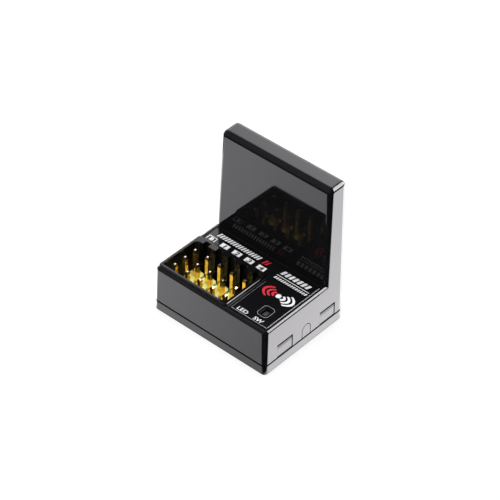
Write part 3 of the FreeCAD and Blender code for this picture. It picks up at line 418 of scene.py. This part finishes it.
# A plain emblem of radio waves is printed in front of the titles: waves on both sides of a dot,
# red to the left and white to the right.
EMBLEM = (7.8, -1.5)
WAVE_RADII, WAVE_THICKNESS, WAVE_FLAT = (1.45, 2.37, 3.3), 0.5, 0.54
WAVE_REACH, WAVE_STEPS = 54, 20
DOT_RADIUS, DOT_SIDES = 0.5, 24


def round_emblem(radius, angles, flat):
    """Points round the emblem's middle, on a circle or on one flattened from front to back."""
    return [(EMBLEM[0] + radius * math.cos(a), EMBLEM[1] + radius * flat * math.sin(a)) for a in angles]


def wave(radius, start, end):
    """The outline of a wave: a band of an ellipse between two angles, in degrees."""
    angles = [math.radians(start + (end - start) * step / WAVE_STEPS) for step in range(WAVE_STEPS + 1)]
    outer = round_emblem(radius, angles, WAVE_FLAT)
    return outer + round_emblem(radius - WAVE_THICKNESS, reversed(angles), WAVE_FLAT)


printed("red_waves", [wave(radius, 180 - WAVE_REACH, 180 + WAVE_REACH) for radius in WAVE_RADII], ink_red)
printed("white_waves", [wave(radius, -WAVE_REACH, WAVE_REACH) for radius in WAVE_RADII], ink_white)
dot_angles = [math.radians(360 * corner / DOT_SIDES) for corner in range(DOT_SIDES)]
printed("emblem_dot", [round_emblem(DOT_RADIUS, dot_angles, flat=1.0)], ink_white)


# A thin grey line is printed on the film round the push switch's hole. It is a band of eight
# straight sides, a rectangle with its corners cut off.
HOLE = (8.8, -5.83)
RING_REACH, RING_INNER = (1.15, 1.36), (0.93, 0.945)
RING_CORNERS = ((-0.6, -1), (0.6, -1), (1, -0.7), (1, 0.7), (0.6, 1), (-0.6, 1), (-1, 0.7), (-1, -0.7))
outer = [(HOLE[0] + x * RING_REACH[0], HOLE[1] + y * RING_REACH[1]) for x, y in RING_CORNERS]
inner = [(HOLE[0] + (x - HOLE[0]) * RING_INNER[0], HOLE[1] + (y - HOLE[1]) * RING_INNER[1])
         for x, y in outer]
ring_sides = zip(outer, outer[1:] + outer[:1], inner[1:] + inner[:1], inner)
printed("switch_outline", [list(ring_side) for ring_side in ring_sides], grey_ink_and_edge_highlight)


# The contact pins are square brass wire, nickel and gold plated, with coined tips, pressed
# through strips of natural nylon cells and soldered into the main board.
LINE_BUMP, LINE_DEPTH = 0.4, 0.0008


def plate_group():
    """Plated or rolled metal: fine lines along one way, soft blotches, from a position."""
    group = bpy.data.node_groups.new("worked_metal", "ShaderNodeTree")
    face = group.interface
    face.new_socket("Position", in_out="INPUT", socket_type="NodeSocketVector")
    face.new_socket("Line Stretch", in_out="INPUT", socket_type="NodeSocketVector")
    face.new_socket("Blotch Size", in_out="INPUT", socket_type="NodeSocketFloat").default_value = 900
    for name in ("Lines", "Blotches"):
        face.new_socket(name, in_out="OUTPUT", socket_type="NodeSocketFloat")
    nodes, links = group.nodes, group.links
    given, put = nodes.new("NodeGroupInput"), nodes.new("NodeGroupOutput")
    drawn = nodes.new("ShaderNodeVectorMath")
    drawn.operation = "MULTIPLY"
    links.new(given.outputs["Position"], drawn.inputs[0])
    links.new(given.outputs["Line Stretch"], drawn.inputs[1])
    lines = nodes.new("ShaderNodeTexNoise")
    lines.inputs["Scale"].default_value = 1
    lines.inputs["Detail"].default_value = 3
    links.new(drawn.outputs["Vector"], lines.inputs["Vector"])
    blotches = nodes.new("ShaderNodeTexNoise")
    blotches.inputs["Detail"].default_value = 2
    links.new(given.outputs["Position"], blotches.inputs["Vector"])
    links.new(given.outputs["Blotch Size"], blotches.inputs["Scale"])
    links.new(lines.outputs["Fac"], put.inputs["Lines"])
    links.new(blotches.outputs["Fac"], put.inputs["Blotches"])
    return group


worked_metal = plate_group()


def metal_finish(name, tone, tone_between, rough, stretch=(9000, 9000, 600), blotch=900.0):
    """A finish on worked metal: two close tones, a range of roughness and fine lines."""
    finish, tree, shader, metal = start_finish(name, worked_metal)
    metal.inputs["Line Stretch"].default_value = stretch
    metal.inputs["Blotch Size"].default_value = blotch
    tree.links.new(tinted(tree, metal.outputs["Blotches"], tone, tone_between), shader.inputs["Base Color"])
    surfaced(tree, shader, metal.outputs["Lines"], rough, metal.outputs["Lines"], LINE_BUMP, LINE_DEPTH)
    shader.inputs["Metallic"].default_value = 1
    return finish


gilt = metal_finish("gilt_plating", (0.95, 0.6, 0.13), (1.0, 0.7, 0.2), (0.06, 0.12))
# Painted shade: the plating is painted dark brown from just under the coined tips upward, where the pins
# mirror the dark well. The plating is worn to grey on their flat tops.
SHADED_TIP_TONE, SHADED_TIP_START, SHADED_TIP_END = (0.11, 0.065, 0.025), 9.3 * MM, 9.45 * MM
WORN_TONE, WORN_START, WORN_END = (0.24, 0.23, 0.21), 9.87 * MM, 9.89 * MM
tree = gilt.node_tree
shader = tree.nodes["Principled BSDF"]
plated = shader.inputs["Base Color"].links[0].from_socket
height = split_place(tree)["Z"]
# Painted shade: the dark band over the pins' upper ends.
shaded_tips = tinted(tree, ranged(tree, height, SHADED_TIP_START, SHADED_TIP_END), plated, SHADED_TIP_TONE)
worn = tinted(tree, ranged(tree, height, WORN_START, WORN_END), shaded_tips, WORN_TONE)
tree.links.new(worn, shader.inputs["Base Color"])
shader.inputs["Metallic"].default_value = 0.94
columns, rows = ("b", "1", "2", "3", "4"), ("negative", "positive", "signal")
dress(gilt, *[f"pin_{column}_{row}" for column in columns for row in rows])
natural_nylon = skin_finish("natural_nylon", (0.7, 0.68, 0.19), (0.8, 0.77, 0.26), (0.35, 0.5), depth=0.004)
shader = natural_nylon.node_tree.nodes["Principled BSDF"]
shader.inputs["Subsurface Weight"].default_value = 0.25
shader.inputs["Subsurface Scale"].default_value = 0.0006
dress(natural_nylon, *[f"header_base_{column}" for column in columns])


# The main board lies on the cover's corner posts. The aerial board stands on it in the fin,
# held by four bent link pins in a black strip, and carries two copper aerials.
green_mask = skin_finish("green_mask", (0.012, 0.09, 0.035), (0.02, 0.12, 0.05), (0.25, 0.4), grain=5000.0,
                         depth=0.004, dusty=0.2)
dress(green_mask, "main_board", "antenna_board")
copper = metal_finish("aerial_copper", (0.85, 0.42, 0.24), (0.93, 0.52, 0.33), (0.25, 0.4),
                      stretch=(600, 9000, 9000))
dress(copper, "antenna_element_left", "antenna_element_right")
tinned = metal_finish("tinned_wire", (0.72, 0.72, 0.74), (0.8, 0.8, 0.81), (0.25, 0.4))
dress(tinned, *[f"link_pin_{number}" for number in range(1, 5)])
black_nylon = skin_finish("black_nylon", (0.02, 0.02, 0.021), (0.03, 0.03, 0.031), (0.45, 0.6), depth=0.004)
dress(black_nylon, "link_header_base")


# Parts soldered on the main board: the radio under its drawn tin can, and behind the well the
# controller, the regulator and the capacitors. All of them are bought parts, reflow soldered.
tin_sheet = metal_finish("tin_sheet", (0.66, 0.66, 0.67), (0.76, 0.76, 0.77), (0.22, 0.38),
                         stretch=(700, 9000, 9000), blotch=500.0)
dress(tin_sheet, "shield_can", "switch_frame", "crystal")
moulded_epoxy = skin_finish("moulded_epoxy", (0.022, 0.022, 0.024), (0.034, 0.034, 0.036), (0.55, 0.7),
                            grain=12000.0, depth=0.006)
dress(moulded_epoxy, "radio_chip", "front_end_chip", "controller_chip", "voltage_regulator")
fired_ceramic = skin_finish("fired_ceramic", (0.34, 0.22, 0.13), (0.42, 0.29, 0.18), (0.4, 0.55), depth=0.004)
dress(fired_ceramic, "input_capacitor", "output_capacitor")
cast_resin = skin_finish("cast_resin", (0.8, 0.77, 0.66), (0.86, 0.84, 0.76), (0.12, 0.2), depth=0.002)
dress(cast_resin, "status_led")


# The push switch stands under the hole in the label: a moulded housing with a folded tin cover,
# a sprung steel dome and the plunger, whose stem is pressed through the deck.
switch_moulding = skin_finish("switch_moulding", (0.025, 0.025, 0.026), (0.035, 0.035, 0.036), (0.4, 0.55),
                              depth=0.003)
dress(switch_moulding, "switch_body")
dome_steel = metal_finish("dome_steel", (0.64, 0.64, 0.65), (0.72, 0.72, 0.73), (0.14, 0.24))
dress(dome_steel, "switch_dome")
stem_moulding = skin_finish("stem_moulding", (0.02, 0.02, 0.021), (0.03, 0.03, 0.031), (0.3, 0.42),
                            depth=0.003)
dress(stem_moulding, "switch_plunger")


# The receiver stands on a plain pale table in a plain white surround. Both light it softly, and
# look white to the camera, in polished metal and through clear plastic.
TABLE_HALF, TABLE_LEVEL = 1.5, -0.00002
TABLE_WHITE_SHARE = 0.85
SURROUND_TINT, SURROUND_LIGHT = (0.97, 0.97, 1.0, 1), 0.4


def looked_at(tree):
    """1 for a ray from the camera, a mirror or clear plastic, and 0 for any other."""
    rays = tree.nodes.new("ShaderNodeLightPath").outputs
    direct = reckoned(tree, "MAXIMUM", rays["Is Camera Ray"], rays["Is Glossy Ray"])
    return reckoned(tree, "MAXIMUM", direct, rays["Is Transmission Ray"])


def shared_out(tree, share, lit, seen, end):
    """Mixes two shaders by a share, into the end node of a material or the world."""
    mixed = tree.nodes.new("ShaderNodeMixShader")
    tree.links.new(share, mixed.inputs["Fac"])
    tree.links.new(lit, mixed.inputs[1])
    tree.links.new(seen, mixed.inputs[2])
    tree.links.new(mixed.outputs["Shader"], tree.nodes[end].inputs["Surface"])


floor_mesh = bpy.data.meshes.new("table")
floor_mesh.from_pydata([(x * TABLE_HALF, y * TABLE_HALF, 0) for x, y in ((-1, -1), (1, -1), (1, 1), (-1, 1))],
                       [], [(0, 1, 2, 3)])
table = bpy.data.objects.new("table", floor_mesh)
table.location.z = TABLE_LEVEL
scene.collection.objects.link(table)
pale = bpy.data.materials.new("pale_table")
pale.use_nodes = True
tree = pale.node_tree
matt = tree.nodes["Principled BSDF"]
matt.inputs["Base Color"].default_value = (0.85, 0.85, 0.85, 1)
matt.inputs["Roughness"].default_value = 1
matt.inputs["Specular IOR Level"].default_value = 0
white = tree.nodes.new("ShaderNodeEmission")
share = reckoned(tree, "MULTIPLY", looked_at(tree), TABLE_WHITE_SHARE)
shared_out(tree, share, matt.outputs["BSDF"], white.outputs["Emission"], "Material Output")
floor_mesh.materials.append(pale)

world = bpy.data.worlds.new("studio")
world.use_nodes = True
scene.world = world
tree = world.node_tree
surround = tree.nodes["Background"]
surround.inputs["Color"].default_value = SURROUND_TINT
surround.inputs["Strength"].default_value = SURROUND_LIGHT
backdrop = tree.nodes.new("ShaderNodeBackground")
backdrop.inputs["Strength"].default_value = 1
shared_out(tree, looked_at(tree), surround.outputs["Background"], backdrop.outputs["Background"],
           "World Output")
scene.view_settings.view_transform = "Standard"


# Bright and dark cards lie on the table and hang round the receiver. They light nothing and
# show only in its polished sides.
CARD_TINT = (0.985, 0.965, 1, 1)
CARD_LIFT, CARD_STEPS = 0.02, 8


def glowing(name, strength, fade=None):
    """A card's plain glow. A fade has an axis, the ends of its run in millimetres and the last strength."""
    finish = bpy.data.materials.new(name)
    finish.use_nodes = True
    tree = finish.node_tree
    tree.nodes.remove(tree.nodes["Principled BSDF"])
    glow = tree.nodes.new("ShaderNodeEmission")
    glow.inputs["Color"].default_value = CARD_TINT
    glow.inputs["Strength"].default_value = strength
    tree.links.new(glow.outputs["Emission"], tree.nodes["Material Output"].inputs["Surface"])
    if fade:
        axis, start, end, last = fade
        faded = ranged(tree, split_place(tree)[axis], start * MM, end * MM, strength, last)
        tree.links.new(faded, glow.inputs["Strength"])
    return finish


def card(name, corners, faces, finish):
    """A card of flat faces, in metres, that only mirrors show."""
    mesh = bpy.data.meshes.new(name)
    mesh.from_pydata(corners, [], faces)
    mesh.materials.append(finish)
    piece = bpy.data.objects.new(name, mesh)
    scene.collection.objects.link(piece)
    piece.visible_camera = piece.visible_diffuse = piece.visible_shadow = False
    piece.visible_transmission = piece.visible_volume_scatter = False


def flat_card(name, corners, finish):
    """A card that lies on the table, in millimetres."""
    card(name, [(x * MM, y * MM, CARD_LIFT * MM) for x, y in corners], [list(range(len(corners)))], finish)


def hung_card(name, turns, rises, finish, reach=0.6):
    """A curved card round the receiver, between two compass turns and two rises, in degrees."""
    corners, faces = [], []
    for row in range(CARD_STEPS + 1):
        rise = math.radians(rises[0] + (rises[1] - rises[0]) * row / CARD_STEPS)
        for column in range(CARD_STEPS + 1):
            turn = math.radians(turns[0] + (turns[1] - turns[0]) * column / CARD_STEPS)
            corners.append((reach * math.cos(turn) * math.cos(rise), reach * math.sin(turn) * math.cos(rise),
                            reach * math.sin(rise)))
    for row in range(CARD_STEPS):
        for column in range(CARD_STEPS):
            near = row * (CARD_STEPS + 1) + column
            faces.append((near, near + 1, near + CARD_STEPS + 2, near + CARD_STEPS + 1))
    card(name, corners, faces, finish)


black_card = glowing("black_card", 0.03)
grey_card = glowing("grey_card", 0.95)
flat_card("right_card", [(12.8, -10.6), (21.5, -1.6), (21.5, 12), (40, 30), (40, 60), (12.8, 60)],
          glowing("right_glow", 13.2))
flat_card("front_left_card", [(12.4, -10.4), (0.5, -26), (-45, -26), (-45, 12), (-12.9, 12), (-12.9, -10.4)],
          glowing("front_left_glow", 6.6, fade=("X", -30, 8, 3.9)))
flat_card("dark_floor", [(12.7, -10.5), (0.6, -26.2), (-45.2, -26.2), (-45.2, 12), (-400, 12), (-400, -400),
                         (400, -400), (400, 150), (40.2, 60), (40.2, 30), (21.7, 12), (21.7, -1.7)],
          black_card)
hung_card("front_flag", (-190, -60), (-3, 86), grey_card)
hung_card("camera_flag", (-60, 28), (-3, 86), black_card)
hung_card("right_flag", (50, 100), (40, 86), black_card, reach=0.62)
hung_card("right_softbox", (28, 80), (0, 50), glowing("right_softbox_glow", 60))
hung_card("back_left_softbox", (102, 168), (14, 52),
          glowing("back_left_glow", 6.0, fade=("Y", 322, 360, 10.0)), reach=0.58)


# Two soft square lamps light the receiver, one from above and one from the front. They look at
# the middle of the casing and show in no mirror.
LAMP_SIZE, LAMP_TARGET = 0.2, Vector((0, 0, 0.01))


def lamp(name, place, power):
    """A soft square lamp, in metres and watts."""
    data = bpy.data.lights.new(name, "AREA")
    data.shape = "SQUARE"
    data.size = LAMP_SIZE
    data.energy = power
    body = bpy.data.objects.new(name, data)
    body.location = place
    body.rotation_mode = "QUATERNION"
    body.rotation_quaternion = (Vector(place) - LAMP_TARGET).to_track_quat("Z", "Y")
    body.visible_glossy = False
    scene.collection.objects.link(body)


lamp("overhead_lamp", (-0.04, 0.05, 0.45), 2.2)
lamp("front_lamp", (0.0, -0.38, 0.26), 1.7)
